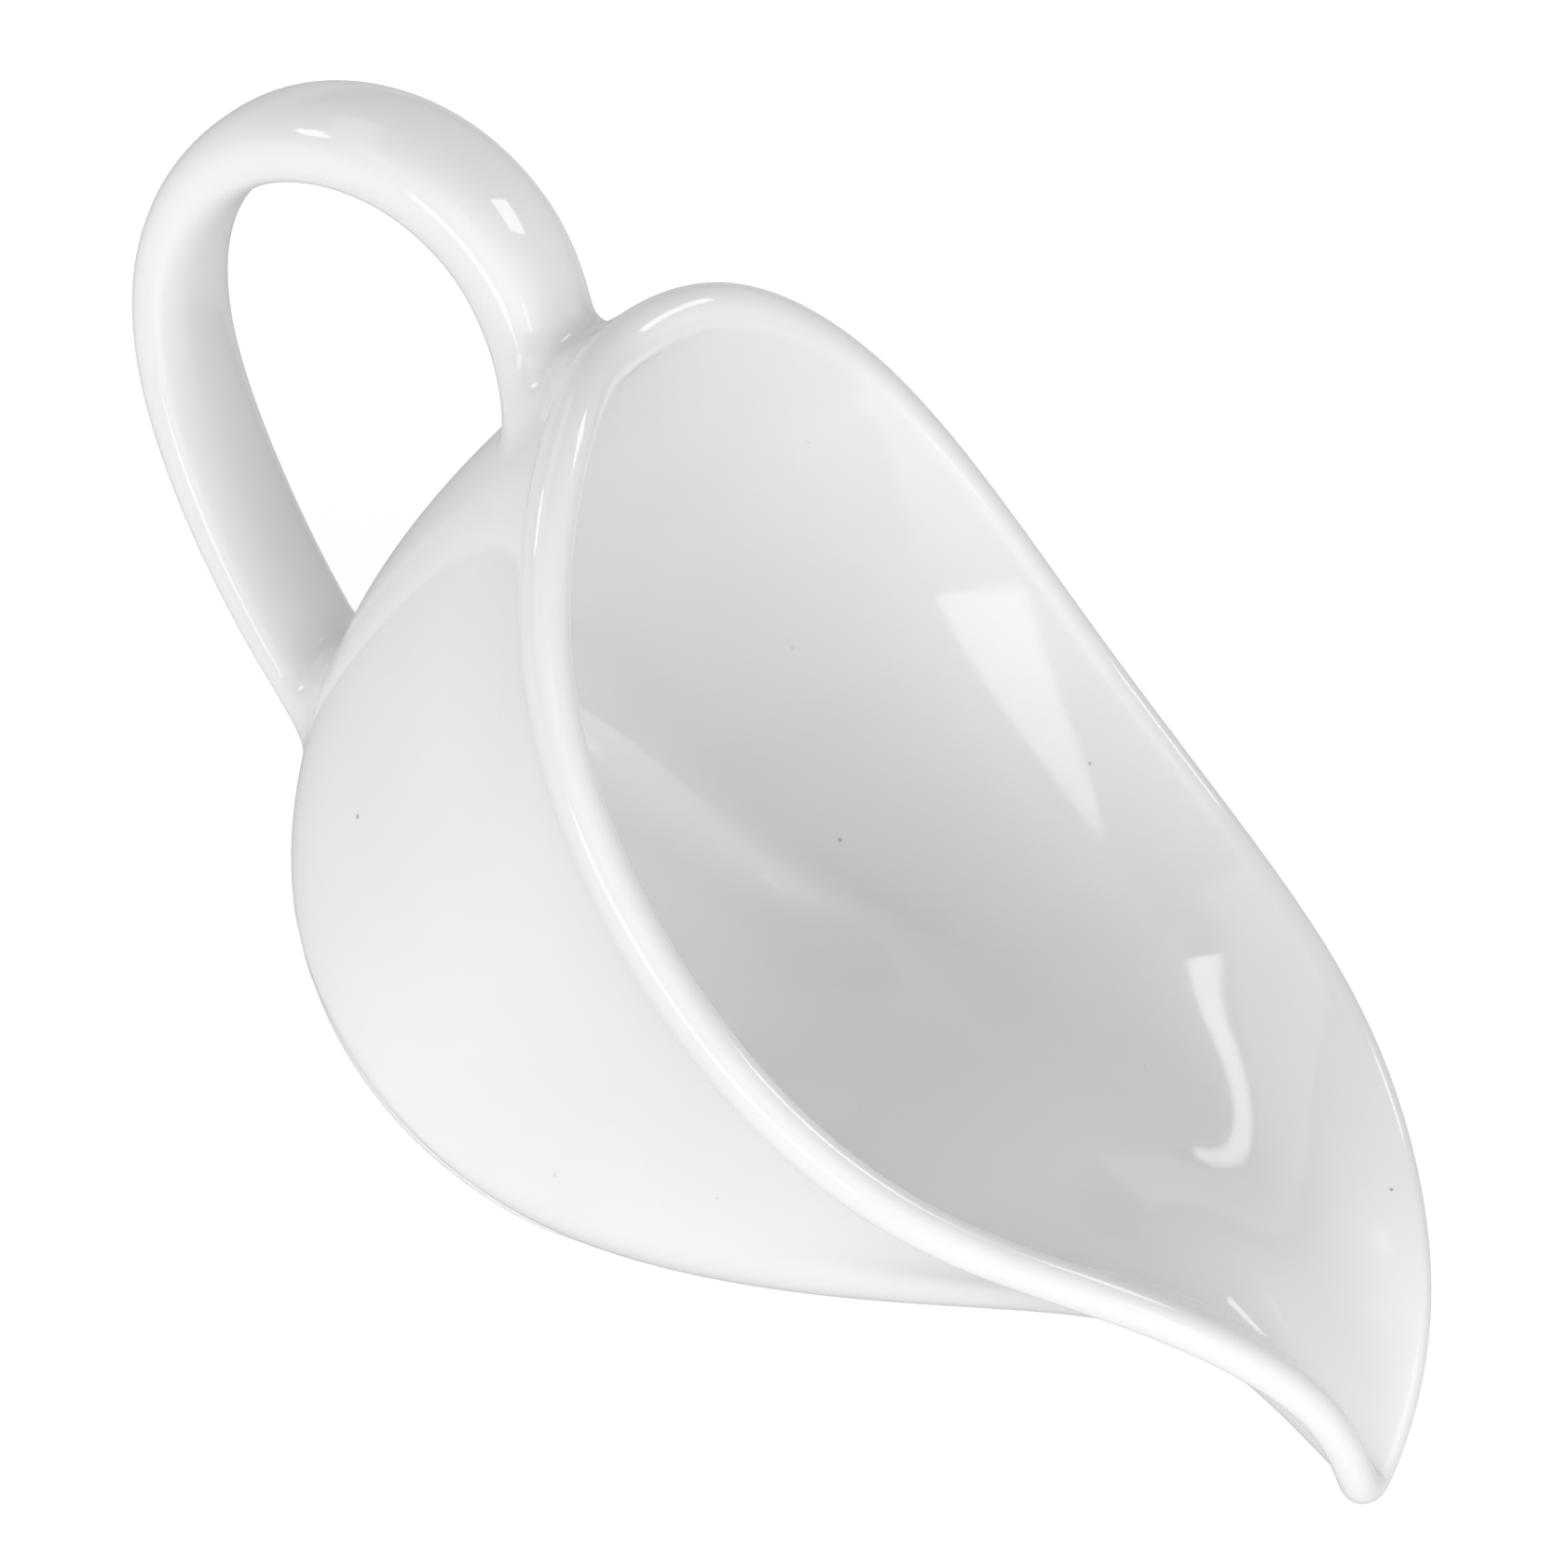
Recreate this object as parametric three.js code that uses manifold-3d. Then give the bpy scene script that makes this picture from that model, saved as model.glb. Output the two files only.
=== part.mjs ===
// Sauce boat in white glazed porcelain: a helmet-shaped body drawn out to a pouring spout, a loop
// handle stuck on at the back with slip, and a low foot ring.
//
// Millimetres, +Z up. The boat stands on z = 0, its spout points towards +X and its handle towards
// -X, and it is symmetric about the plane y = 0.

import * as THREE from 'three';
import { NURBSCurve } from 'three/addons/curves/NURBSCurve.js';
import { mergeVertices } from 'three/addons/utils/BufferGeometryUtils.js';
import Module from 'manifold-3d';

// ---------------------------------------------------------------------------
// Driving dimensions
// ---------------------------------------------------------------------------

// The tables below measure length from the back of the rim. This puts the finished boat, handle
// and spout together, centred on the origin.
const SHIFT_X = -52;

// Centreline of the rolled lip: guide points of a smooth closed curve, from the back of the rim to
// the tip of the spout, as length, half width and height. The other half is the mirror image.
const LIP_GUIDES = [
  [0, 0, 73.2],
  [2.2, 17, 79.2],
  [21.8, 45.1, 66.7],
  [61.1, 50.7, 52.9],
  [94.6, 46.4, 51.4],
  [118.9, 31, 57],
  [146.1, 11.3, 51],
  [157.3, 0, 27.7],
];

// The lip is a bead that stands proud of the outer wall. Its radius falls from the back to the
// spout by this swing either side of the mean.
const LIP_RADIUS = 2.65;
const LIP_RADIUS_SWING = 0.35;
const LIP_BULGE = 1.2;

// The round foot ring: the middle of it, its outer radius at the top, its height and its width.
// It draws in towards the ground by a lean on each side, and its ground edges are broken.
const FOOT_X = 47;
const FOOT_RADIUS = 37.2;
const FOOT_HEIGHT = 2.2;
const FOOT_WIDTH = 3.4;
const FOOT_LEAN = 0.8;
const FOOT_LEAN_INSIDE = 0.5;
const FOOT_EDGE = 0.5;

// Each rib of the wall is a cubic curve from the foot to the lip, drawn by a handle at each end:
// at the foot it reaches out and rises, at the rim it drops and flares. u runs round the boat from
// 0 at the back to pi at the spout. A handle's size is the mean, plus end * cos(u), and plus
// quarter * cos(2u), third * cos(3u) or a term for the spout alone.
const BELLY_REACH = { mean: 13.8, end: -12.7, quarter: 11.9 };
const BELLY_RISE = 0.95;
const RIM_DROP = { mean: 24, end: 7.6, spout: -18.2 };
const RIM_FLARE = { mean: 13, end: -13, third: -5 };

// At the spout the lip curls over forwards by this much, and SPOUT_POWER sets how narrow it is.
const SPOUT_CURL = 5;
const SPOUT_POWER = 5;

// How much thicker the wall is at the foot than at the lip.
const WALL_TAPER = 3;

// The inside: the flat floor's radius and height, and the place up the wall, from 0 at the foot to
// 1 at the lip, where the wall starts to round over to it. The underside is recessed inside the
// foot ring, and RECESS_HEIGHT is its height above the ground.
const FLOOR_RADIUS = 10;
const FLOOR_TOP = 5.6;
const FLOOR_START = 0.42;
const RECESS_HEIGHT = 1.9;

// Handle centreline in the plane y = 0, from the rim round to the belly: guide points of a smooth
// curve, as length and height. Its section is a flattened oval, whose width across the boat and
// thickness are given at equal steps along it.
const HANDLE_GUIDES = [
  [2, 62],
  [-6.5, 69.3],
  [-16.5, 75.6],
  [-31, 75.5],
  [-43.3, 67],
  [-48.7, 55.4],
  [-47.3, 42.5],
  [-40.8, 32.4],
  [-32, 25],
  [-21, 18.4],
  [-9.5, 13],
  [1.5, 9.2],
  [9.5, 7.6],
];
const HANDLE_WIDTHS = [16, 17.5, 16.5, 17.5, 17];
const HANDLE_THICKNESSES = [8, 10.5, 7.5, 7, 6.6];
const OVAL_POWER = 0.85;

// The slip joints, as places along the handle's centreline from 0 to 1: where each one starts at
// the handle's end, and where it meets the wall. Its edge spreads over the wall past the handle, by
// different amounts at the sides, outside the loop and inside it.
const UPPER_JOINT = { start: 0.09, wall: 0.04, spread: { side: 6, outside: 3, inside: 3 } };
const LOWER_JOINT = { start: 0.87, wall: 0.95, spread: { side: 5, outside: 0.5, inside: 4 } };

// Clearance kept between pieces that touch on the real boat.
const GAP = 0.3;

// Mesh density.
const RIBS = 84;
const WALL_STEPS = 14;
const BEAD_STEPS = 8;
const INNER_STEPS = 10;
const FLOOR_STEPS = 5;
const HANDLE_STEPS = 40;
const OVAL_STEPS = 16;
const JOINT_STEPS = 8;

// ---------------------------------------------------------------------------
// Curves
// ---------------------------------------------------------------------------

// A uniform cubic B-spline through the space between its guide points.
function splineFrom(points) {
  const knots = Array.from({ length: points.length + 4 }, (_, i) => i);
  const controls = points.map((p) => new THREE.Vector4(p.x, p.y, p.z, 1));
  return new NURBSCurve(3, knots, controls, 3, points.length);
}

function closedSpline(points) {
  const last = points[points.length - 1];
  return splineFrom([last, ...points, points[0], points[1]]);
}

// The first and last guide points are where an open spline starts and ends.
function openSpline(points) {
  const [a, b] = points;
  const [y, z] = points.slice(-2);
  const before = a.clone().multiplyScalar(2).sub(b);
  const after = z.clone().multiplyScalar(2).sub(y);
  return splineFrom([before, ...points, after]);
}

function blendTable(table, t) {
  const place = t * (table.length - 1);
  const i = Math.min(Math.floor(place), table.length - 2);
  return THREE.MathUtils.lerp(table[i], table[i + 1], place - i);
}

// ---------------------------------------------------------------------------
// Body
// ---------------------------------------------------------------------------

const lipSide = LIP_GUIDES.map(([x, y, z]) => new THREE.Vector3(x, y, z));
const lipMirror = lipSide.slice(1, -1).reverse().map((p) => new THREE.Vector3(p.x, -p.y, p.z));
const lipCurve = closedSpline([...lipSide, ...lipMirror]);

const UP = new THREE.Vector3(0, 0, 1);
const FORWARDS = new THREE.Vector3(1, 0, 0);

function lipRadius(u) {
  return LIP_RADIUS + LIP_RADIUS_SWING * Math.cos(u);
}

// The rib at u, as a curve down the middle of the wall from the foot to the centre of the lip.
function ribCurve(u) {
  const spout = ((1 - Math.cos(u)) / 2) ** SPOUT_POWER;
  const reach = BELLY_REACH.mean + BELLY_REACH.end * Math.cos(u)
    + BELLY_REACH.quarter * Math.cos(2 * u);
  const drop = RIM_DROP.mean + RIM_DROP.end * Math.cos(u) + RIM_DROP.spout * spout;
  const flare = RIM_FLARE.mean + RIM_FLARE.end * Math.cos(u) + RIM_FLARE.third * Math.cos(3 * u);

  const t = u / (2 * Math.PI);
  const lip = lipCurve.getPoint(t);
  const along = lipCurve.getTangent(t);
  const lipOut = new THREE.Vector3(-along.y, along.x, 0).normalize().lerp(FORWARDS, spout);

  const footOut = new THREE.Vector3(-Math.cos(u), Math.sin(u), 0);
  const footTop = FOOT_HEIGHT + lipRadius(u) - LIP_BULGE;
  const foot = new THREE.Vector3(FOOT_X, 0, footTop).addScaledVector(footOut, FOOT_RADIUS);
  const footHandle = foot.clone().addScaledVector(footOut, reach).addScaledVector(UP, BELLY_RISE * reach);
  const lipHandle = lip.clone().addScaledVector(lipOut, -flare)
    .addScaledVector(FORWARDS, -SPOUT_CURL * spout).addScaledVector(UP, -drop);
  return new THREE.CubicBezierCurve3(foot, footHandle, lipHandle, lip);
}

// The wall's middle surface at (u, v), with v from 0 at the foot to 1 at the lip: the point, the
// way out of the wall and the way up it.
function wallFrame(u, v) {
  const step = 1e-3;
  const rib = ribCurve(u);
  const point = rib.getPoint(v);
  const up = rib.getTangent(v);
  const around = ribCurve(u + step).getPoint(v).sub(ribCurve(u - step).getPoint(v));
  const out = new THREE.Vector3().crossVectors(up, around).normalize();
  return { point, out, up };
}

// The bead meets the outer wall where the wall is this far below the centre of the bead.
function beadDepth(u) {
  const radius = lipRadius(u);
  return Math.sqrt(radius ** 2 - (radius - LIP_BULGE) ** 2);
}

// The highest v of the outer wall at u, just where the bead starts.
function wallTop(u) {
  const rib = ribCurve(u);
  const lip = rib.getPoint(1);
  let low = 0.5;
  let high = 1;
  for (let i = 0; i < 30; i += 1) {
    const middle = (low + high) / 2;
    if (rib.getPoint(middle).distanceTo(lip) > beadDepth(u)) low = middle;
    else high = middle;
  }
  return low;
}

// Points from the foot up the outer wall and round the bead, on a skin grown outwards by `grown`.
function outerPoints(u, grown, beadEnd) {
  const radius = lipRadius(u);
  const top = wallTop(u);
  const points = [];
  for (let i = 0; i < WALL_STEPS; i += 1) {
    const { point, out } = wallFrame(u, (top * i) / WALL_STEPS);
    points.push(point.addScaledVector(out, radius - LIP_BULGE + grown));
  }
  const { point, out, up } = wallFrame(u, 1);
  const start = -Math.asin(beadDepth(u) / radius);
  for (let i = 0; i <= BEAD_STEPS; i += 1) {
    const angle = THREE.MathUtils.lerp(start, beadEnd, i / BEAD_STEPS);
    points.push(point.clone()
      .addScaledVector(out, (radius + grown) * Math.cos(angle))
      .addScaledVector(up, (radius + grown) * Math.sin(angle)));
  }
  return points;
}

// Points from under the lip down the inner wall, then round on to the flat floor.
function innerPoints(u) {
  const points = [];
  const inner = (v) => {
    const { point, out, up } = wallFrame(u, v);
    const depth = lipRadius(u) + WALL_TAPER * (1 - v);
    return { point: point.addScaledVector(out, -depth), up };
  };
  for (let i = 1; i <= INNER_STEPS; i += 1) {
    points.push(inner(THREE.MathUtils.lerp(1, FLOOR_START, i / INNER_STEPS)).point);
  }
  const start = inner(FLOOR_START);
  const run = (start.point.z - FLOOR_TOP) / start.up.z;
  const corner = start.point.clone().addScaledVector(start.up, -run);
  const end = new THREE.Vector3(
    FOOT_X - FLOOR_RADIUS * Math.cos(u), FLOOR_RADIUS * Math.sin(u), FLOOR_TOP);
  const blend = new THREE.QuadraticBezierCurve3(start.point, corner, end);
  for (let i = 1; i <= FLOOR_STEPS; i += 1) points.push(blend.getPoint(i / FLOOR_STEPS));
  return points;
}

function circlePoint(u, radius, height) {
  return new THREE.Vector3(FOOT_X - radius * Math.cos(u), radius * Math.sin(u), height);
}

// A closed skin through rings of points, with a flat or pointed cap at each end.
function skin(rings, firstCap, lastCap) {
  const count = rings[0].length;
  const vertices = [...rings.flat(), firstCap, lastCap];
  const faces = [];
  const at = (ring, i) => ring * count + (i % count);
  for (let i = 0; i < count; i += 1) {
    for (let ring = 0; ring < rings.length - 1; ring += 1) {
      faces.push(at(ring, i), at(ring + 1, i), at(ring + 1, i + 1));
      faces.push(at(ring, i), at(ring + 1, i + 1), at(ring, i + 1));
    }
    faces.push(vertices.length - 2, at(0, i), at(0, i + 1));
    faces.push(vertices.length - 1, at(rings.length - 1, i + 1), at(rings.length - 1, i));
  }
  const geometry = new THREE.BufferGeometry();
  geometry.setAttribute('position', new THREE.Float32BufferAttribute(
    vertices.flatMap((p) => p.toArray()), 3));
  geometry.setIndex(faces);
  return geometry;
}

// Turns a list of ribs, each a list of points, into rings of points round the boat.
function ringsFrom(ribs) {
  return ribs[0].map((_, ring) => ribs.map((rib) => rib[ring]));
}

const ribAngles = Array.from({ length: RIBS }, (_, i) => (2 * Math.PI * i) / RIBS);

function bowlGeometry() {
  const seat = FOOT_RADIUS - FOOT_WIDTH - 2 * GAP;
  const ribs = ribAngles.map((u) => [
    circlePoint(u, seat, RECESS_HEIGHT),
    circlePoint(u, seat, FOOT_HEIGHT + GAP),
    ...outerPoints(u, 0, Math.PI),
    ...innerPoints(u),
  ]);
  const under = new THREE.Vector3(FOOT_X, 0, RECESS_HEIGHT);
  const floor = new THREE.Vector3(FOOT_X, 0, FLOOR_TOP);
  return skin(ringsFrom(ribs), under, floor);
}

// The bowl grown by the clearance and filled in, which is what the slip joints are cut back from.
function bowlEnvelope() {
  const ribs = ribAngles.map((u) => outerPoints(u, GAP, Math.PI / 2));
  const under = new THREE.Vector3(FOOT_X, 0, FOOT_HEIGHT - GAP);
  const mouth = new THREE.Vector3(FOOT_X, 0, ribCurve(Math.PI / 2).getPoint(1).z);
  return skin(ringsFrom(ribs), under, mouth);
}

function footGeometry() {
  const top = FOOT_HEIGHT;
  const outer = FOOT_RADIUS;
  const inner = FOOT_RADIUS - FOOT_WIDTH;
  const profile = [
    [inner, top],
    [inner + FOOT_LEAN_INSIDE, FOOT_EDGE],
    [inner + FOOT_LEAN_INSIDE + FOOT_EDGE, 0],
    [outer - FOOT_LEAN - FOOT_EDGE, 0],
    [outer - FOOT_LEAN, FOOT_EDGE],
    [outer, top],
    [inner, top],
  ].map(([x, y]) => new THREE.Vector2(x, y));
  const geometry = new THREE.LatheGeometry(profile, RIBS);
  geometry.rotateX(Math.PI / 2);
  geometry.translate(FOOT_X, 0, 0);
  return geometry;
}

// ---------------------------------------------------------------------------
// Handle and its slip joints
// ---------------------------------------------------------------------------

const NO_SPREAD = { side: 0, outside: 0, inside: 0 };
const handleCurve = openSpline(HANDLE_GUIDES.map(([x, z]) => new THREE.Vector3(x, 0, z)));

// One oval section of the handle at t, wider by a share of `spread`.
function ovalRing(t, spread, share) {
  const centre = handleCurve.getPoint(t);
  const along = handleCurve.getTangent(t);
  const across = new THREE.Vector3(0, 1, 0);
  const normal = new THREE.Vector3().crossVectors(across, along);
  const halfWidth = blendTable(HANDLE_WIDTHS, t) / 2 + spread.side * share;
  const thickness = blendTable(HANDLE_THICKNESSES, t);
  const squared = (value) => Math.sign(value) * Math.abs(value) ** OVAL_POWER;
  return Array.from({ length: OVAL_STEPS }, (_, i) => {
    const angle = (2 * Math.PI * i) / OVAL_STEPS;
    const faceSpread = Math.sin(angle) > 0 ? spread.outside : spread.inside;
    const halfThickness = thickness / 2 + faceSpread * share;
    return centre.clone()
      .addScaledVector(across, halfWidth * squared(Math.cos(angle)))
      .addScaledVector(normal, halfThickness * squared(Math.sin(angle)));
  });
}

// A stretch of the handle between two places on its centreline. `share` says how much of the
// spread there is at t.
function sweep(from, to, steps, spread, share) {
  const places = Array.from({ length: steps + 1 }, (_, i) => THREE.MathUtils.lerp(from, to, i / steps));
  const rings = places.map((t) => ovalRing(t, spread, share(t)));
  return skin(rings, handleCurve.getPoint(from), handleCurve.getPoint(to));
}

let wasm;

function toSolid(geometry) {
  geometry.deleteAttribute('normal');
  geometry.deleteAttribute('uv');
  const merged = mergeVertices(geometry, 1e-4);
  return new wasm.Manifold(new wasm.Mesh({
    numProp: 3,
    vertProperties: merged.attributes.position.array,
    triVerts: new Uint32Array(merged.index.array),
  }));
}

function fromSolid(solid) {
  const mesh = solid.getMesh();
  const geometry = new THREE.BufferGeometry();
  geometry.setAttribute('position', new THREE.BufferAttribute(new Float32Array(mesh.vertProperties), 3));
  geometry.setIndex(new THREE.BufferAttribute(new Uint32Array(mesh.triVerts), 1));
  return geometry;
}

// A slip joint fills the stretch from the handle to the wall, and its edge spreads in a hollow
// curve over the wall. `end` is where the handle's centreline ends, inside the wall.
function jointGeometry({ start, wall, spread }, end, envelope) {
  const share = (t) => THREE.MathUtils.clamp((start - t) / (start - wall), 0, 1) ** 2;
  const stretch = sweep(Math.min(start, end), Math.max(start, end), JOINT_STEPS, spread, share);
  return fromSolid(toSolid(stretch).subtract(envelope));
}

// ---------------------------------------------------------------------------
// Assembly
// ---------------------------------------------------------------------------

const boat = new THREE.Group();
boat.position.x = SHIFT_X;

function addPiece(name, geometry, color, roughness) {
  const material = new THREE.MeshStandardMaterial({ color, roughness, metalness: 0 });
  const mesh = new THREE.Mesh(geometry, material);
  mesh.name = name;
  boat.add(mesh);
}

const GLAZE = 0xeeeeec;
const BISQUE = 0xddd9d0;
const GLAZE_ROUGHNESS = 0.12;
const BISQUE_ROUGHNESS = 0.7;

wasm = await Module();
wasm.setup();

const envelope = toSolid(bowlEnvelope());
const handleGap = GAP / handleCurve.getLength();
const handleStart = UPPER_JOINT.start + handleGap;
const handleEnd = LOWER_JOINT.start - handleGap;

addPiece('bowl', bowlGeometry(), GLAZE, GLAZE_ROUGHNESS);
addPiece('foot_ring', footGeometry(), BISQUE, BISQUE_ROUGHNESS);
const handleGeometry = sweep(handleStart, handleEnd, HANDLE_STEPS, NO_SPREAD, () => 0);
addPiece('handle', handleGeometry, GLAZE, GLAZE_ROUGHNESS);
addPiece('upper_handle_joint', jointGeometry(UPPER_JOINT, 0, envelope), GLAZE, GLAZE_ROUGHNESS);
addPiece('lower_handle_joint', jointGeometry(LOWER_JOINT, 1, envelope), GLAZE, GLAZE_ROUGHNESS);

export default boat;
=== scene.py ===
"""Looks of the white porcelain sauce boat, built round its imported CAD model.

Shapes are worked out in millimetres, measured from the back of the lip, and put down in metres in
the frame of the CAD model. The spout points towards +X and the boat is the same on both sides of
y = 0.
"""

import math

import bpy
import numpy as np
from mathutils import Matrix, Quaternion, Vector
from mathutils.bvhtree import BVHTree


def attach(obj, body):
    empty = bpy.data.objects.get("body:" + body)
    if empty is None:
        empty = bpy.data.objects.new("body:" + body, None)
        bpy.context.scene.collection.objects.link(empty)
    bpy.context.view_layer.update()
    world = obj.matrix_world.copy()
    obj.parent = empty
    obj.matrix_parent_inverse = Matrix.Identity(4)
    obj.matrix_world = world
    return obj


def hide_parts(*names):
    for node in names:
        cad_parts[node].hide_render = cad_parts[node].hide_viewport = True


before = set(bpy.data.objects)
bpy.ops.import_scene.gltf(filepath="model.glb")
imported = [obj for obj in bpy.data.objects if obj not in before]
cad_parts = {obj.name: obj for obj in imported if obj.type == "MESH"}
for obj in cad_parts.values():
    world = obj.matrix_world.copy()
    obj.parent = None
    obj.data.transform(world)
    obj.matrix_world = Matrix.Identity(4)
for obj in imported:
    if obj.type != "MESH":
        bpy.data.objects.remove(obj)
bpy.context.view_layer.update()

# ---------------------------------------------------------------------------
# Dimensions, in millimetres
# ---------------------------------------------------------------------------

MM = 0.001
SHIFT_X = -52  # from the back of the lip to the middle of the boat's length

# Centreline of the rolled lip from the back to the tip of the spout: length, half width, height.
LIP_GUIDES = np.array([
    [0, 0, 73.2],
    [2.2, 17, 79.2],
    [21.8, 45.1, 66.7],
    [61.1, 50.7, 52.9],
    [94.6, 46.4, 51.4],
    [118.9, 31, 57],
    [146.1, 11.3, 51],
    [157.3, 0, 27.7],
])
LIP_RADIUS = 2.65
LIP_RADIUS_SWING = 0.35  # thicker by this at the back, thinner by this at the spout
LIP_BULGE = 1.2  # how far the lip stands out from the wall
LIP_HOLLOW = 3.6  # radius of the hollow between the lip and the wall

FOOT_X = 47
FOOT_RADIUS = 37.2
FOOT_HEIGHT = 2.2
FOOT_SIDE = 36.8  # radius of the foot ring's upright outer side
SEAM_HEIGHT = 0.95  # where that side ends and the fillet of glaze under the belly starts
SEAM_RADIUS = 1.45

# The handles of the wall's Bezier ribs. The three numbers of a tuple are its mean, how much it
# changes from the back to the spout, and a last term for the quarters, the spout or the thirds.
BELLY_REACH = (13.8, -12.7, 11.9)
BELLY_RISE = 0.95
RIM_DROP = (24, 7.6, -18.2)
RIM_FLARE = (13, -13, -5)
SPOUT_CURL = 5
SPOUT_POWER = 5  # how narrowly the spout's own terms keep to the spout
WALL_TAPER = 3  # how much thicker the wall is at the foot than at the lip

FLOOR_RADIUS = 10  # radius of the level middle of the floor inside
FLOOR_TOP = 5.6
FLOOR_START = 0.42  # share of the rib's height where the wall starts to round into the floor
FLOOR_RINGS = (8, 6, 4, 2)
RECESS_HEIGHT = 1.9  # height of the underside within the foot ring
RECESS_RINGS = (2, 8, 16, 24, 32, 33)
SEAT_RINGS = ((34.4, 2.0), (35.6, 2.2), (37.0, 1.9))  # the underside's edge on top of the foot ring

# Centreline of the handle: length and height. Then its width and thickness at equal steps.
HANDLE_GUIDES = np.array([
    [2, 62],
    [-6.5, 69.3],
    [-16.5, 75.6],
    [-31, 75.5],
    [-43.3, 67],
    [-48.7, 55.4],
    [-47.3, 42.5],
    [-40.8, 32.4],
    [-32, 25],
    [-21, 18.4],
    [-9.5, 13],
    [1.5, 9.2],
    [9.5, 7.6],
])
HANDLE_WIDTHS = [16, 17.5, 16.5, 17.5, 17]
HANDLE_THICKNESSES = [8, 10.5, 7.5, 7, 6.6]
OVAL_POWER = 0.85  # under 1 makes the oval section fuller

# Fillets of slip: where along the handle each starts, how far it spreads over the wall at the sides,
# outside the loop and inside it, and how much its edge climbs on the way to the wall.
UPPER_JOINT_START = 0.09
UPPER_JOINT_SPREAD = (7.5, 3.2, 3.0)
UPPER_JOINT_SLOPE = -0.3
LOWER_JOINT_START = 0.87
LOWER_JOINT_SPREAD = (6.5, 0.4, 5.0)
LOWER_JOINT_SLOPE = 0.1
JOINT_FULLNESS = 0.45  # length of the fillet's Bezier handles, as a share of its span
JOINT_TOE = 3.2  # the most that the handle on the wall may measure
WALL_GUESS = 9  # about how far the wall is from the start of a joint

UNEVENNESS = 0.035

# How finely the surfaces are cut.
RIBS = 288
RIB_SAMPLES = 400
WALL_STEPS = 72
HOLLOW_STEPS = 9
BEAD_STEPS = 24
FLOOR_STEPS = 28
OVAL_POINTS = 72
HANDLE_SECTIONS = 200
JOINT_SECTIONS = 28

# ---------------------------------------------------------------------------
# Curves
# ---------------------------------------------------------------------------


def unit(vectors):
    return vectors / np.linalg.norm(vectors, axis=-1, keepdims=True)


def spline(controls, places):
    """Points and slopes of a uniform cubic B-spline; place 0 is over controls[1]."""
    i = np.clip(np.floor(places).astype(int), 0, len(controls) - 4)
    f = (places - i)[:, None]
    a, b, c, d = (controls[i + k] for k in range(4))
    point = ((1 - f) ** 3 * a + (3 * f ** 3 - 6 * f ** 2 + 4) * b
             + (-3 * f ** 3 + 3 * f ** 2 + 3 * f + 1) * c + f ** 3 * d) / 6
    slope = (-(1 - f) ** 2 * a + (3 * f ** 2 - 4 * f) * b
             + (-3 * f ** 2 + 2 * f + 1) * c + f ** 2 * d) / 2
    return point, slope


LIP_LOOP = np.vstack([LIP_GUIDES, LIP_GUIDES[-2:0:-1] * [1, -1, 1]])
LIP_CONTROLS = np.vstack([LIP_LOOP[-1:], LIP_LOOP, LIP_LOOP[:2]])


def lip_spline(u):
    return spline(LIP_CONTROLS, (u / (2 * np.pi) % 1) * len(LIP_LOOP))


HANDLE_CONTROLS = np.vstack([
    2 * HANDLE_GUIDES[0] - HANDLE_GUIDES[1],
    HANDLE_GUIDES,
    2 * HANDLE_GUIDES[-1] - HANDLE_GUIDES[-2],
])


def handle_spline(t):
    point, slope = spline(HANDLE_CONTROLS, t * (len(HANDLE_GUIDES) - 1))
    flat = np.zeros(len(t))
    return (np.stack([point[:, 0], flat, point[:, 1]], -1),
            unit(np.stack([slope[:, 0], flat, slope[:, 1]], -1)))


def blend_table(table, t):
    """A smooth curve through equally spaced values."""
    values = np.array([2 * table[0] - table[1], *table, 2 * table[-1] - table[-2]], float)
    place = t * (len(table) - 1)
    i = np.clip(np.floor(place).astype(int), 0, len(table) - 2)
    f = place - i
    a, b, c, d = (values[i + k] for k in range(4))
    return b + f * (c - a + f * (2 * a - 5 * b + 4 * c - d + f * (3 * b - a - 3 * c + d))) / 2


# ---------------------------------------------------------------------------
# Wall of the boat
# ---------------------------------------------------------------------------


def lip_radius(u):
    return LIP_RADIUS + LIP_RADIUS_SWING * np.cos(u)


def rib_controls(u):
    """Control points of the ribs at angles u: 0 is the back, pi the spout."""
    cos, sin = np.cos(u)[:, None], np.sin(u)[:, None]
    flat = np.zeros_like(cos)
    forwards, up = np.array([1.0, 0, 0]), np.array([0, 0, 1.0])
    spout = ((1 - cos) / 2) ** SPOUT_POWER
    reach = BELLY_REACH[0] + BELLY_REACH[1] * cos + BELLY_REACH[2] * np.cos(2 * u)[:, None]
    drop = RIM_DROP[0] + RIM_DROP[1] * cos + RIM_DROP[2] * spout
    flare = RIM_FLARE[0] + RIM_FLARE[1] * cos + RIM_FLARE[2] * np.cos(3 * u)[:, None]

    lip, along = lip_spline(u)
    lip_out = unit(np.stack([-along[:, 1], along[:, 0], 0 * u], -1))
    lip_out = lip_out + (forwards - lip_out) * spout
    foot_out = np.hstack([-cos, sin, flat])
    foot_top = FOOT_HEIGHT + lip_radius(u)[:, None] - LIP_BULGE
    foot = np.array([FOOT_X, 0, 0]) + foot_out * FOOT_RADIUS + up * foot_top
    foot_handle = foot + foot_out * reach + up * BELLY_RISE * reach
    lip_handle = lip - lip_out * flare - forwards * SPOUT_CURL * spout - up * drop
    return foot, foot_handle, lip_handle, lip


def rib_points(u, v):
    a, b, c, d = rib_controls(u)
    v = v[..., None]
    return (1 - v) ** 3 * a + 3 * v * (1 - v) ** 2 * b + 3 * v ** 2 * (1 - v) * c + v ** 3 * d


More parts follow.
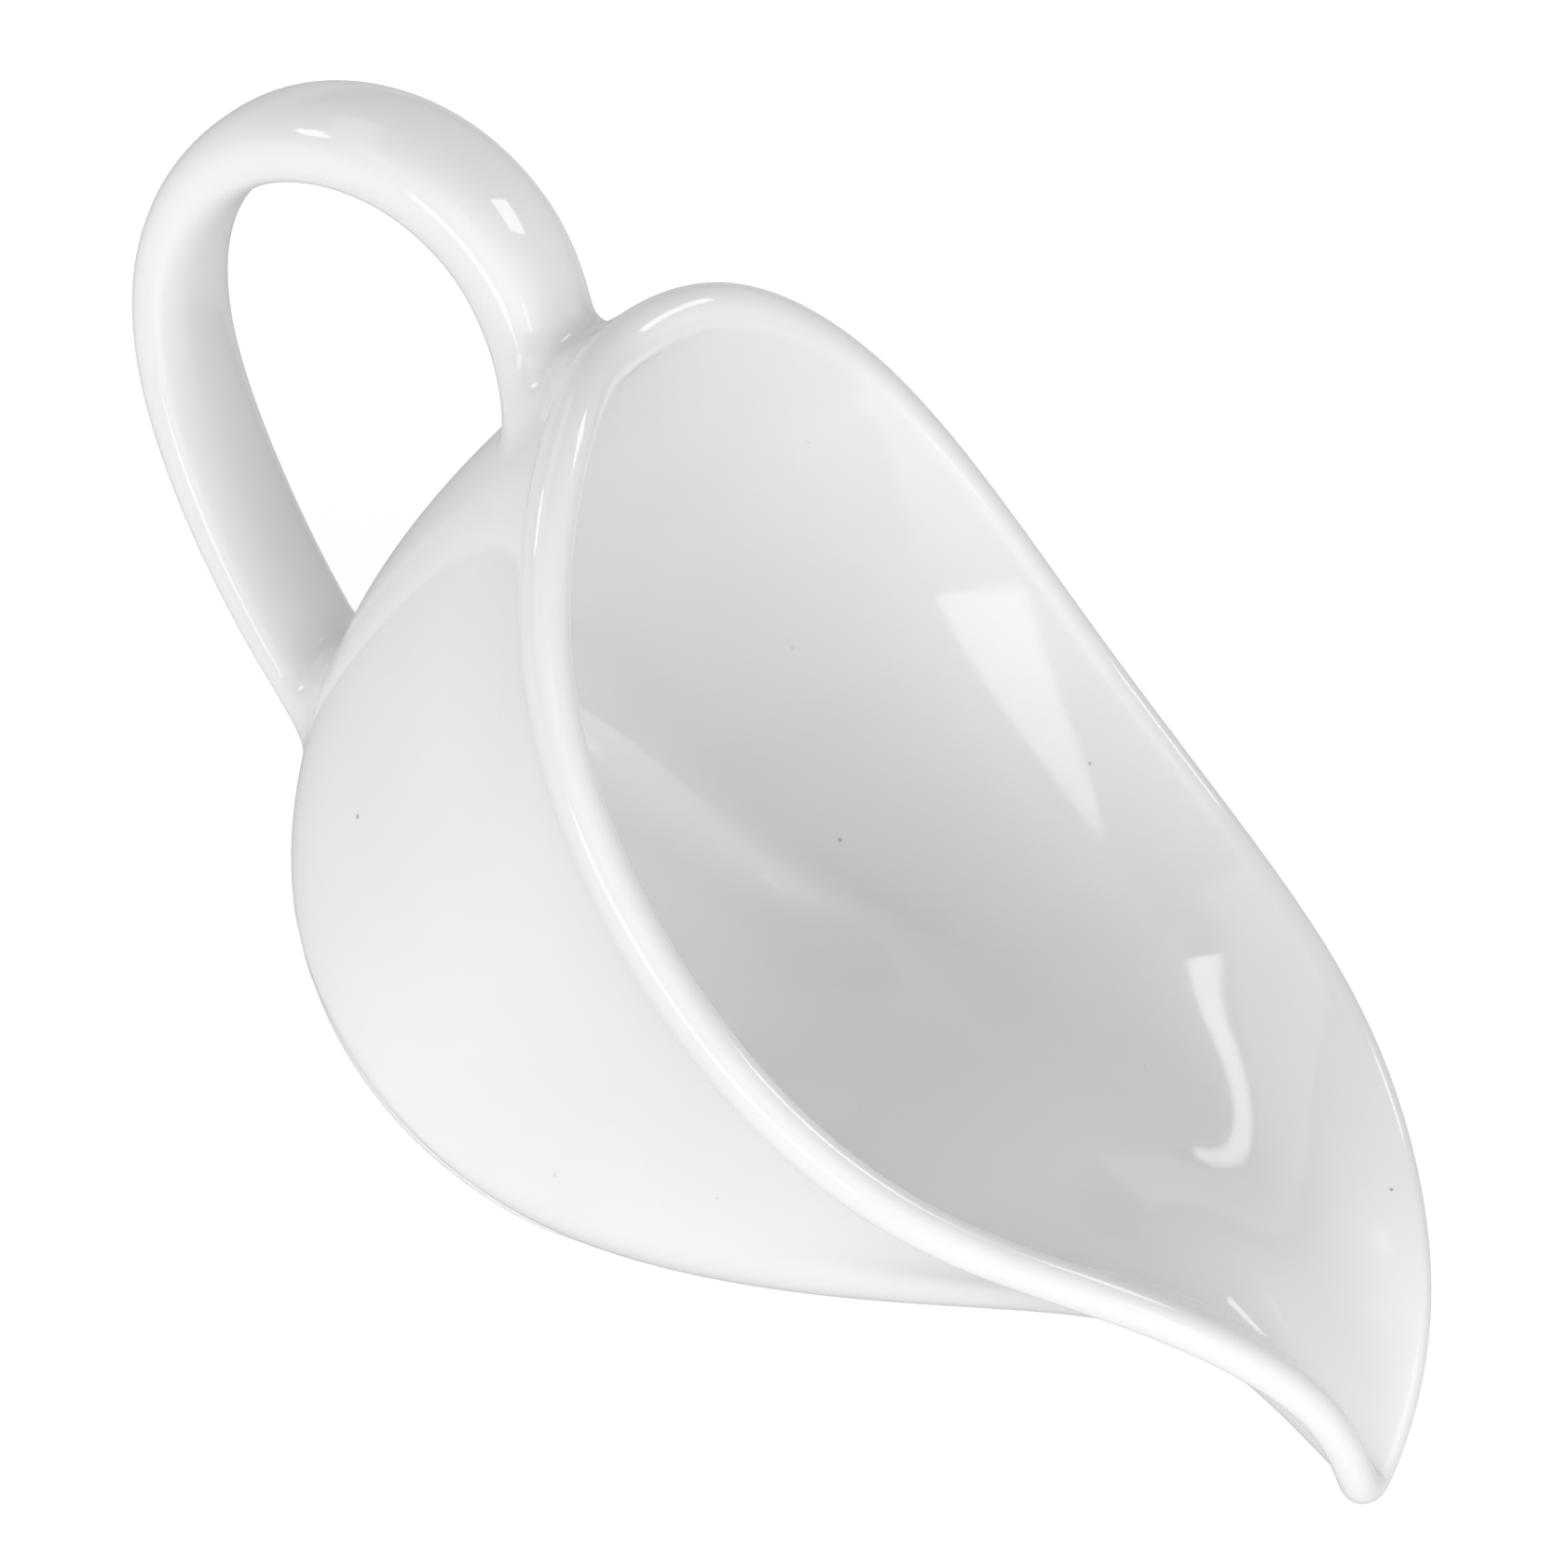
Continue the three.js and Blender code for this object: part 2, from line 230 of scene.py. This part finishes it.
def wall_frame(u, v):
    """Middle of the wall at angles u (n) and heights v (m, n): the points, the way out and up."""
    nudge = 1e-4
    points = rib_points(u, v)
    up = unit(rib_points(u, v + nudge) - rib_points(u, v - nudge))
    around = rib_points(u + nudge, v) - rib_points(u - nudge, v)
    return points, unit(np.cross(up, around)), up


def heights_below_lip(u, depths):
    """v on each rib where the wall is this far below the lip's centre along it, and its length."""
    v = np.linspace(0, 1, RIB_SAMPLES)
    points = rib_points(u, np.repeat(v[:, None], len(u), 1))
    steps = np.linalg.norm(np.diff(points, axis=0), axis=2)
    length = np.vstack([np.zeros(len(u)), np.cumsum(steps, axis=0)])
    columns = [np.interp(length[-1, i] - depths[:, i], length[:, i], v) for i in range(len(u))]
    return np.stack(columns, -1), length[-1]


def outer_rings(u):
    """From the foot up the outer wall, through the hollow and round the lip to its inside."""
    radius = lip_radius(u)
    skin = radius - LIP_BULGE
    slope = np.arccos((skin + LIP_HOLLOW) / (radius + LIP_HOLLOW))
    hollow_depth = (radius + LIP_HOLLOW) * np.sin(slope)

    _, total = heights_below_lip(u, np.zeros((1, len(u))))
    share = np.linspace(0, 1, WALL_STEPS, endpoint=False)[:, None]
    wall_depths = total + (hollow_depth - total) * share
    turn = np.linspace(0, 1, HOLLOW_STEPS, endpoint=False)[:, None] * slope
    hollow_depths = hollow_depth - LIP_HOLLOW * np.sin(turn)
    hollow_offsets = skin + LIP_HOLLOW * (1 - np.cos(turn))
    turn = np.linspace(-1, 0, HOLLOW_STEPS, endpoint=False)[:, None] * slope
    bead_depths = -radius * np.sin(turn)
    bead_offsets = radius * np.cos(turn)

    depths = np.vstack([wall_depths, hollow_depths, bead_depths])
    offsets = np.vstack([skin + 0 * wall_depths, hollow_offsets, bead_offsets])
    v, _ = heights_below_lip(u, depths)
    points, out, _ = wall_frame(u, v)
    rings = list(points + out * offsets[..., None])

    lip, out, up = wall_frame(u, np.ones((1, len(u))))
    for angle in np.linspace(0, np.pi, BEAD_STEPS + 1):
        direction = out[0] * math.cos(angle) + up[0] * math.sin(angle)
        rings.append(lip[0] + radius[:, None] * direction)
    return rings


def inner_rings(u):
    """From under the lip down the inner wall and round on to the floor."""
    radius = lip_radius(u)[:, None]

    def inner(v):
        point, out, up = wall_frame(u, np.full((1, len(u)), v))
        return point[0] - out[0] * (radius + WALL_TAPER * (1 - v)), up[0]

    rings = [inner(v)[0] for v in np.linspace(1, FLOOR_START, WALL_STEPS + 1)[1:]]
    start, up = inner(FLOOR_START)
    corner = start - up * ((start[:, 2:] - FLOOR_TOP) / up[:, 2:])
    end = circle(u, FLOOR_RADIUS, FLOOR_TOP)
    for t in np.linspace(0, 1, FLOOR_STEPS + 1)[1:]:
        rings.append((1 - t) ** 2 * start + 2 * t * (1 - t) * corner + t ** 2 * end)
    return rings


def circle(u, radius, height):
    return np.stack([FOOT_X - radius * np.cos(u), radius * np.sin(u), height + 0 * u], -1)


# ---------------------------------------------------------------------------
# Meshes
# ---------------------------------------------------------------------------


def hand_finish(points):
    """The slight unevenness of a cast and sponged pot, the same for every piece."""
    x, y, z = points.T
    wave = np.stack([
        np.sin(y / 13 + z / 17 + 0.4) + np.sin(x / 11 - z / 19 + 2.1),
        np.sin(x / 15 + z / 12 + 1.3) + np.sin(y / 17 - x / 21 + 0.2),
        np.sin(x / 14 - y / 16 + 0.9) + np.sin(z / 13 + y / 18 + 3.0),
    ], -1)
    wave[:, 2] *= np.clip(z / 6, 0, 1)  # the ground edge stays flat
    return points + UNEVENNESS * wave


def ring_faces(rows, count):
    """The four-sided faces between rings of count points, which follow each other in one list."""
    faces = []
    for start in range(0, (rows - 1) * count, count):
        for i in range(count):
            j = (i + 1) % count
            faces.append((start + i, start + count + i, start + count + j, start + j))
    return faces


def smooth_object(name, vertices, faces):
    mesh = bpy.data.meshes.new(name)
    mesh.from_pydata(vertices, [], faces)
    mesh.validate()
    mesh.shade_smooth()
    thing = bpy.data.objects.new(name, mesh)
    bpy.context.scene.collection.objects.link(thing)
    return thing


def make_piece(name, node, rings):
    """A closed mesh through rings of points, in millimetres, that stands for a CAD node."""
    count = len(rings[0])
    faces = ring_faces(len(rings), count)
    vertices = np.vstack([*rings, rings[0].mean(0), rings[-1].mean(0)])
    first, last = len(vertices) - 2, len(vertices) - 1
    top = first - count
    for i in range(count):
        j = (i + 1) % count
        faces.append((first, i, j))
        faces.append((last, top + j, top + i))
    vertices = (hand_finish(vertices) + [SHIFT_X, 0, 0]) * MM
    piece = smooth_object(name, vertices.tolist(), faces)
    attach(piece, "root")
    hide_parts(node)
    return piece


def all_round():
    """The angles of the ribs: 0 is the back, pi the spout."""
    return np.arange(RIBS) / RIBS * 2 * np.pi


def bowl_rings():
    """The whole skin of the bowl, from the middle of its underside to the middle of its floor."""
    u = all_round()
    under = [circle(u, radius, RECESS_HEIGHT) for radius in RECESS_RINGS]
    seat = [circle(u, radius, height) for radius, height in SEAT_RINGS]
    floor = [circle(u, radius, FLOOR_TOP) for radius in FLOOR_RINGS]
    return under + seat + outer_rings(u) + inner_rings(u) + floor


def oval_ring(t, spread=0.0):
    """One section of the handle at t, wider all round by spread."""
    centre, along = (value[0] for value in handle_spline(np.array([float(t)])))
    across = np.array([0, 1.0, 0])
    normal = np.cross(across, along)
    angle = np.arange(OVAL_POINTS) / OVAL_POINTS * 2 * np.pi
    cos, sin = np.cos(angle), np.sin(angle)
    width = blend_table(HANDLE_WIDTHS, np.array([t]))[0] / 2 + spread
    thickness = blend_table(HANDLE_THICKNESSES, np.array([t]))[0] / 2 + spread
    side = width * np.sign(cos) * np.abs(cos) ** OVAL_POWER
    face = thickness * np.sign(sin) * np.abs(sin) ** OVAL_POWER
    return centre + side[:, None] * across + face[:, None] * normal


def tucked_rings(t, inwards):
    """Three sections that carry an end at t on inside its neighbour, a hair under its surface."""
    return [oval_ring(t + inwards * step, -depth)
            for step, depth in ((0.002, 0.006), (0.004, 0.03), (0.006, 0.4))]


def handle_rings():
    places = np.linspace(UPPER_JOINT_START, LOWER_JOINT_START, HANDLE_SECTIONS)
    first = tucked_rings(places[0], -1)
    last = tucked_rings(places[-1], 1)
    return first[::-1] + [oval_ring(t) for t in places] + last


def joint_rings(start, inwards, spread, slope, wall):
    """A fillet of slip from the handle's section at start to the wall, tangent to both.

    inwards is the way along the handle to the wall: -1 at its first end and +1 at its last.
    """
    aim = Vector((1, 0, slope)).normalized()
    centre, along = (value[0] for value in handle_spline(np.array([start])))
    ring = oval_ring(start)
    radial = unit(ring - centre)
    faces = radial @ np.cross([0, 1.0, 0], along)
    sides, outside, inside = spread
    reach = sides + (np.where(faces > 0, outside, inside) - sides) * faces ** 2
    rim, rim_out, wall_out = [], [], []
    for point, direction, distance in zip(ring, radial, reach):
        start_point = Vector(point + direction * distance)
        hit, normal, _, _ = wall.ray_cast(start_point, aim)
        if hit is None:
            hit, normal, _, _ = wall.find_nearest(start_point + aim * WALL_GUESS)
        normal = np.array(normal)
        slide = unit(direction - normal * (direction @ normal))
        rim.append(np.array(hit))
        rim_out.append(slide)
        wall_out.append(normal)
    rim, rim_out, wall_out = map(np.array, (rim, rim_out, wall_out))
    span = np.linalg.norm(rim - ring, axis=1)[:, None]
    second = ring + along * inwards * span * JOINT_FULLNESS
    third = rim - rim_out * np.minimum(span * JOINT_FULLNESS, JOINT_TOE)
    rings = tucked_rings(start, -inwards)[::-1]
    for t in np.linspace(0, 1, JOINT_SECTIONS):
        rings.append((1 - t) ** 3 * ring + 3 * t * (1 - t) ** 2 * second
                     + 3 * t * t * (1 - t) * third + t ** 3 * rim)
    # The edge runs out to nothing on the wall, then turns back inside it.
    rings.append(rim + rim_out * 0.25 - wall_out * 0.05)
    rings.append(rim - wall_out * 0.8)
    rings.append(rim - rim_out * 2 - wall_out * 1.2)
    return rings[::inwards]  # so that the faces look outwards at both joints


def foot_rings():
    """The foot ring: down its inner side, over the ground edge, up to the belly and in under it."""
    u = all_round()
    section = []

    def arc(x, z, radius, start, end, steps):
        for angle in np.radians(np.linspace(start, end, steps)):
            section.append((x + radius * math.cos(angle), z + radius * math.sin(angle)))

    section.append((33.4, 2.3))
    section.append((33.4, 1.92))
    arc(33.5, 1.1, 0.8, 90, 10, 8)
    arc(34.9, 0.5, 0.5, 185, 270, 8)
    section.append((35.4, 0.0))
    arc(35.8, 0.5, 0.5, 270, 350, 8)
    slope = math.atan(BELLY_RISE)
    arc(FOOT_SIDE + SEAM_RADIUS, SEAM_HEIGHT, SEAM_RADIUS, 180, 90 + math.degrees(slope), 9)
    x, z = section[-1]
    section.append((x + 0.6 * math.cos(slope) - 0.02, z + 0.6 * math.sin(slope) + 0.02))
    section.append((37.2, 2.4))
    section.append((35.4, 2.6))
    return [circle(u, x, z) for x, z in section]


# ---------------------------------------------------------------------------
# Materials
# ---------------------------------------------------------------------------


def join_maths(tree, operation, first, second):
    """A maths node on two inputs, each of them a number or another node's output."""
    node = tree.nodes.new("ShaderNodeMath")
    node.operation = operation
    for socket, value in zip(node.inputs, (first, second)):
        if isinstance(value, (int, float)):
            socket.default_value = value
        else:
            tree.links.new(value, socket)
    return node.outputs["Value"]


class Nodes:
    """Short ways to add and join the nodes of one material."""

    def __init__(self, name):
        self.material = bpy.data.materials.new(name)
        self.material.use_nodes = True
        self.tree = self.material.node_tree
        self.shader = self.tree.nodes["Principled BSDF"]
        self.place = self.add("ShaderNodeTexCoord").outputs["Object"]

    def add(self, kind, **settings):
        node = self.tree.nodes.new(kind)
        for key, value in settings.items():
            setattr(node, key, value)
        return node

    def join(self, source, target):
        self.tree.links.new(source, target)

    def noise(self, scale, detail=2.0, roughness=0.5):
        node = self.add("ShaderNodeTexNoise")
        node.inputs["Scale"].default_value = scale
        node.inputs["Detail"].default_value = detail
        node.inputs["Roughness"].default_value = roughness
        self.join(self.place, node.inputs["Vector"])
        return node.outputs["Fac"]

    def ramp(self, source, low, high, start, end):
        """source from low to high, turned into start to end, and held beyond."""
        node = self.add("ShaderNodeMapRange", interpolation_type="SMOOTHSTEP")
        self.join(source, node.inputs["Value"])
        limits = {"From Min": low, "From Max": high, "To Min": start, "To Max": end}
        for name, value in limits.items():
            node.inputs[name].default_value = value
        return node.outputs["Result"]

    def maths(self, operation, first, second):
        return join_maths(self.tree, operation, first, second)

    def mix(self, share, first, second):
        node = self.add("ShaderNodeMix", data_type="RGBA")
        self.join(share, node.inputs[0])
        for socket, value in zip((node.inputs[6], node.inputs[7]), (first, second)):
            if isinstance(value, tuple):
                socket.default_value = (*value, 1)
            else:
                self.join(value, socket)
        return node.outputs[2]

    def bump(self, height, distance, strength, after=None):
        node = self.add("ShaderNodeBump")
        node.inputs["Distance"].default_value = distance
        node.inputs["Strength"].default_value = strength
        self.join(height, node.inputs["Height"])
        if after is not None:
            self.join(after, node.inputs["Normal"])
        return node.outputs["Normal"]


def specks(nodes, scale, size, rarity):
    """Above 0 inside small scattered dots of mixed width and depth. Only some cells hold one."""
    cells = nodes.add("ShaderNodeTexVoronoi", feature="F1")
    cells.inputs["Scale"].default_value = scale
    nodes.join(nodes.place, cells.inputs["Vector"])
    chance = nodes.add("ShaderNodeSeparateColor")
    nodes.join(cells.outputs["Color"], chance.inputs[0])
    pick, width, depth = chance.outputs
    chosen = nodes.maths("GREATER_THAN", pick, rarity)
    reach = nodes.maths("DIVIDE", cells.outputs["Distance"], nodes.maths("ADD", width, 0.6))
    dot = nodes.ramp(reach, size * 0.4, size, 1, 0)
    depth = nodes.ramp(depth, 0, 1, 0.25, 1)
    return nodes.maths("MULTIPLY", nodes.maths("MULTIPLY", dot, chosen), depth)


GLAZE_IOR = 1.52
GLAZE_COLOUR = (0.80, 0.80, 0.80)
GLAZE_THIN = (0.77, 0.77, 0.765)
SPECK_COLOUR = (0.16, 0.15, 0.14)
BISQUE_COLOUR = (0.70, 0.68, 0.64)
BISQUE_DARK = (0.58, 0.56, 0.52)


def glaze_parts(nodes):
    """Colour, roughness and surface of the clear glaze over white porcelain."""
    clouds = nodes.ramp(nodes.noise(28, 3), 0.3, 0.7, 0, 1)
    colour = nodes.mix(clouds, GLAZE_COLOUR, GLAZE_THIN)
    dots = specks(nodes, 200, 0.055, 0.90)
    colour = nodes.mix(nodes.maths("MULTIPLY", dots, 0.6), colour, SPECK_COLOUR)
    rough = nodes.ramp(nodes.noise(160, 4, 0.6), 0.25, 0.75, 0.055, 0.11)
    surface = nodes.bump(nodes.noise(45, 1), 0.0006, 0.12)
    surface = nodes.bump(nodes.noise(420, 2), 0.00004, 0.16, surface)
    pits = specks(nodes, 250, 0.04, 0.84)
    surface = nodes.bump(nodes.maths("SUBTRACT", 1.0, pits), 0.00006, 0.6, surface)
    return colour, rough, surface


def glaze_material():
    nodes = Nodes("porcelain_glaze")
    colour, rough, surface = glaze_parts(nodes)
    nodes.join(colour, nodes.shader.inputs["Base Color"])
    nodes.join(rough, nodes.shader.inputs["Roughness"])
    nodes.join(surface, nodes.shader.inputs["Normal"])
    nodes.shader.inputs["IOR"].default_value = GLAZE_IOR
    return nodes.material


def foot_material():
    """Glaze on the sides of the foot ring, bare ground porcelain on the edge that it stands on.

    The glaze stops about half a millimetre above the ground, on a slightly uneven line.
    """
    nodes = Nodes("foot_bisque_and_glaze")
    colour, rough, surface = glaze_parts(nodes)
    height = nodes.add("ShaderNodeSeparateXYZ")
    nodes.join(nodes.place, height.inputs[0])
    uneven = nodes.ramp(nodes.noise(130, 3), 0.3, 0.7, -0.00012, 0.00012)
    level = nodes.maths("ADD", height.outputs["Z"], uneven)
    bare = nodes.ramp(level, 0.00042, 0.00058, 1, 0)
    grain = nodes.noise(1400, 4, 0.7)
    body = nodes.mix(nodes.ramp(grain, 0.35, 0.65, 0, 1), BISQUE_COLOUR, BISQUE_DARK)
    iron = specks(nodes, 240, 0.09, 0.82)
    body = nodes.mix(nodes.maths("MULTIPLY", iron, 0.7), body, SPECK_COLOUR)
    nodes.join(nodes.mix(bare, colour, body), nodes.shader.inputs["Base Color"])
    matt = nodes.ramp(grain, 0.3, 0.7, 0.62, 0.82)
    glazed = nodes.maths("SUBTRACT", 1.0, bare)
    both = nodes.maths("ADD", nodes.maths("MULTIPLY", matt, bare),
                       nodes.maths("MULTIPLY", rough, glazed))
    nodes.join(both, nodes.shader.inputs["Roughness"])
    rough_ground = nodes.maths("MULTIPLY", grain, bare)
    nodes.join(nodes.bump(rough_ground, 0.00012, 0.5, surface), nodes.shader.inputs["Normal"])
    nodes.shader.inputs["IOR"].default_value = GLAZE_IOR
    return nodes.material


def floor_material():
    """White sheet over a light table, which keeps shadows faint."""
    nodes = Nodes("studio_floor")
    tone = nodes.ramp(nodes.noise(6, 2), 0.3, 0.7, 0, 1)
    sheet = nodes.mix(tone, (0.34, 0.34, 0.34), (0.36, 0.36, 0.36))
    nodes.join(sheet, nodes.shader.inputs["Base Color"])
    nodes.shader.inputs["Roughness"].default_value = 0.9
    nodes.shader.inputs["Specular IOR Level"].default_value = 0.1
    nodes.shader.inputs["Emission Color"].default_value = (1, 1, 1, 1)
    nodes.shader.inputs["Emission Strength"].default_value = 0.75
    return nodes.material


def backdrop_material():
    """A white paper wall, lit evenly."""
    nodes = Nodes("studio_backdrop")
    tone = nodes.ramp(nodes.noise(3, 2), 0.3, 0.7, 0, 1)
    paper = nodes.mix(tone, (0.98, 0.98, 0.98), (1, 1, 1))
    nodes.join(paper, nodes.shader.inputs["Emission Color"])
    nodes.shader.inputs["Base Color"].default_value = (0, 0, 0, 1)
    nodes.shader.inputs["Specular IOR Level"].default_value = 0.0
    nodes.shader.inputs["Emission Strength"].default_value = 1.0
    return nodes.material


# ---------------------------------------------------------------------------
# The pieces
# ---------------------------------------------------------------------------

wall_rings = bowl_rings()
bowl = make_piece("glazed_bowl", "bowl", wall_rings)
wall = BVHTree.FromPolygons(np.vstack(wall_rings).tolist(), ring_faces(len(wall_rings), RIBS))

handle = make_piece("loop_handle", "handle", handle_rings())
upper = make_piece("upper_slip_joint", "upper_handle_joint",
                   joint_rings(UPPER_JOINT_START, -1, UPPER_JOINT_SPREAD, UPPER_JOINT_SLOPE, wall))
lower = make_piece("lower_slip_joint", "lower_handle_joint",
                   joint_rings(LOWER_JOINT_START, 1, LOWER_JOINT_SPREAD, LOWER_JOINT_SLOPE, wall))
foot = make_piece("ground_foot_ring", "foot_ring", foot_rings())

glaze = glaze_material()
for piece in (bowl, handle, upper, lower):
    piece.data.materials.append(glaze)
foot.data.materials.append(foot_material())

# ---------------------------------------------------------------------------
# Floor, light and camera
# ---------------------------------------------------------------------------

STUDIO_RADIUS = 2.0
STUDIO_SIDES = 96
STUDIO_TILTS = range(0, 90, 6)  # degrees up from the floor of each ring of the backdrop


def stage_piece(name, vertices, faces, material):
    """Part of the studio. The glaze doesn't mirror it, so that edges stay grey against white."""
    piece = smooth_object(name, vertices, faces)
    piece.data.materials.append(material)
    piece.visible_glossy = False
    return piece


def studio_ring(tilt):
    """A level ring of the round studio, at this angle up from the floor."""
    radius = STUDIO_RADIUS * math.cos(math.radians(tilt))
    height = STUDIO_RADIUS * math.sin(math.radians(tilt))
    turns = (2 * math.pi * i / STUDIO_SIDES for i in range(STUDIO_SIDES))
    return [(radius * math.cos(turn), radius * math.sin(turn), height) for turn in turns]


stage_piece("studio_floor", studio_ring(0), [tuple(range(STUDIO_SIDES))], floor_material())
backdrop = stage_piece("studio_backdrop",
                       [point for tilt in STUDIO_TILTS for point in studio_ring(tilt)],
                       ring_faces(len(STUDIO_TILTS), STUDIO_SIDES), backdrop_material())
backdrop.visible_diffuse = False
backdrop.visible_shadow = False


def towards(azimuth, elevation):
    """The direction at these angles in degrees.

    Azimuth 0 is straight to the side, towards the camera, and 90 is straight ahead of the spout.
    """
    azimuth, elevation = math.radians(azimuth), math.radians(elevation)
    return Vector((math.sin(azimuth) * math.cos(elevation),
                   -math.cos(azimuth) * math.cos(elevation), math.sin(elevation)))


BOAT_MIDDLE = Vector((0, 0, 0.035))
LIGHT_DISTANCE = 1.5
GLOW_POWER = 6.0  # higher makes the glows of the sky narrower
GROUND_EDGE = -6.0  # higher in size makes the sky's horizon sharper


def soft_box(name, azimuth, elevation, width, height, radiance, roll=0.0):
    """A rectangular light that shines evenly. Place, size and roll are in degrees from the boat."""
    light = bpy.data.lights.new(name, "AREA")
    light.shape = "RECTANGLE"
    light.size = 2 * LIGHT_DISTANCE * math.tan(math.radians(width / 2))
    light.size_y = 2 * LIGHT_DISTANCE * math.tan(math.radians(height / 2))
    light.energy = radiance * math.pi * light.size * light.size_y
    lamp = bpy.data.objects.new(name, light)
    lamp.location = BOAT_MIDDLE + LIGHT_DISTANCE * towards(azimuth, elevation)
    facing = (BOAT_MIDDLE - lamp.location).to_track_quat("-Z", "Y")
    lamp.rotation_euler = (facing @ Quaternion((0, 0, 1), math.radians(roll))).to_euler()
    bpy.context.scene.collection.objects.link(lamp)
    return lamp


def sky(ground, glows):
    """Wide soft glows over a dark studio, each given as azimuth, elevation and radiance.

    ground is what the glaze mirrors of the room below the table top.
    """
    world = bpy.data.worlds.new("studio")
    world.use_nodes = True
    bpy.context.scene.world = world
    tree = world.node_tree
    view = tree.nodes.new("ShaderNodeTexCoord").outputs["Generated"]
    height = tree.nodes.new("ShaderNodeSeparateXYZ")
    tree.links.new(view, height.inputs[0])
    below = join_maths(tree, "MULTIPLY", height.outputs["Z"], GROUND_EDGE)
    below = join_maths(tree, "MINIMUM", join_maths(tree, "MAXIMUM", below, 0.0), 1.0)
    total = join_maths(tree, "MULTIPLY", below, ground)
    for azimuth, elevation, radiance in glows:
        facing = tree.nodes.new("ShaderNodeVectorMath")
        facing.operation = "DOT_PRODUCT"
        tree.links.new(view, facing.inputs[0])
        facing.inputs[1].default_value = towards(azimuth, elevation)
        ahead = join_maths(tree, "MAXIMUM", facing.outputs["Value"], 0.0)
        lobe = join_maths(tree, "POWER", ahead, GLOW_POWER)
        total = join_maths(tree, "ADD", total, join_maths(tree, "MULTIPLY", lobe, radiance))
    tree.links.new(total, tree.nodes["Background"].inputs["Color"])


# Azimuth, elevation and radiance of each glow, then azimuth, elevation, width, height and
# radiance of each soft box.
sky(0.45, [(60, 15, 1.9), (180, 15, 0.5), (-110, 15, 0.6), (0, 50, 1.3), (90, 50, 1.0)])
soft_box("window", 4.5, 7.5, 41, 15, 2.8, roll=9)
soft_box("overhead", -8, 66, 8, 6, 1.0)
soft_box("handle_side", -73, 18, 14, 10, 5.0)
soft_box("handle_panel", -80, 34, 70, 18, 0.8)
soft_box("spout_side", 76, 38, 8, 22, 1.8)
soft_box("behind", 170, 52, 14, 14, 4.0)
# Two wide fills lift the shaded sides. The glaze shows no image of them.
soft_box("front_fill", -60, 40, 50, 40, 0.3).visible_glossy = False
soft_box("back_fill", 185, 15, 50, 40, 0.5).visible_glossy = False

# The camera looks across the boat from 40 degrees up, rolled by 45 degrees. Its line of sight
# passes the target, which stands this far right of it and above it, in millimetres.
ELEVATION = math.radians(40)
ROLL = math.radians(45)
TARGET = Vector((75 + SHIFT_X, 0, 35)) * MM
TARGET_RIGHT = 12.12 * MM
TARGET_ABOVE = -25.71 * MM
CAMERA_DISTANCE = 0.9
SENSOR = 36  # in millimetres, as the lens
LENS = 177.11

right = Vector((1, 0, 0))
back = Vector((0, -math.cos(ELEVATION), math.sin(ELEVATION)))
up = back.cross(right)
place = TARGET + back * CAMERA_DISTANCE
side = right * math.cos(ROLL) + up * math.sin(ROLL)
head = up * math.cos(ROLL) - right * math.sin(ROLL)
back = (place - TARGET + side * TARGET_RIGHT + head * TARGET_ABOVE).normalized()
side = (side - back * side.dot(back)).normalized()
head = back.cross(side)

camera_data = bpy.data.cameras.new("camera")
camera_data.sensor_width = SENSOR
camera_data.lens = LENS
camera_data.clip_start, camera_data.clip_end = 0.05, 20
camera = bpy.data.objects.new("camera", camera_data)
camera.matrix_world = Matrix((side, head, back)).transposed().to_4x4()
camera.location = place
bpy.context.scene.collection.objects.link(camera)
bpy.context.scene.camera = camera
bpy.context.scene.view_settings.view_transform = "Standard"
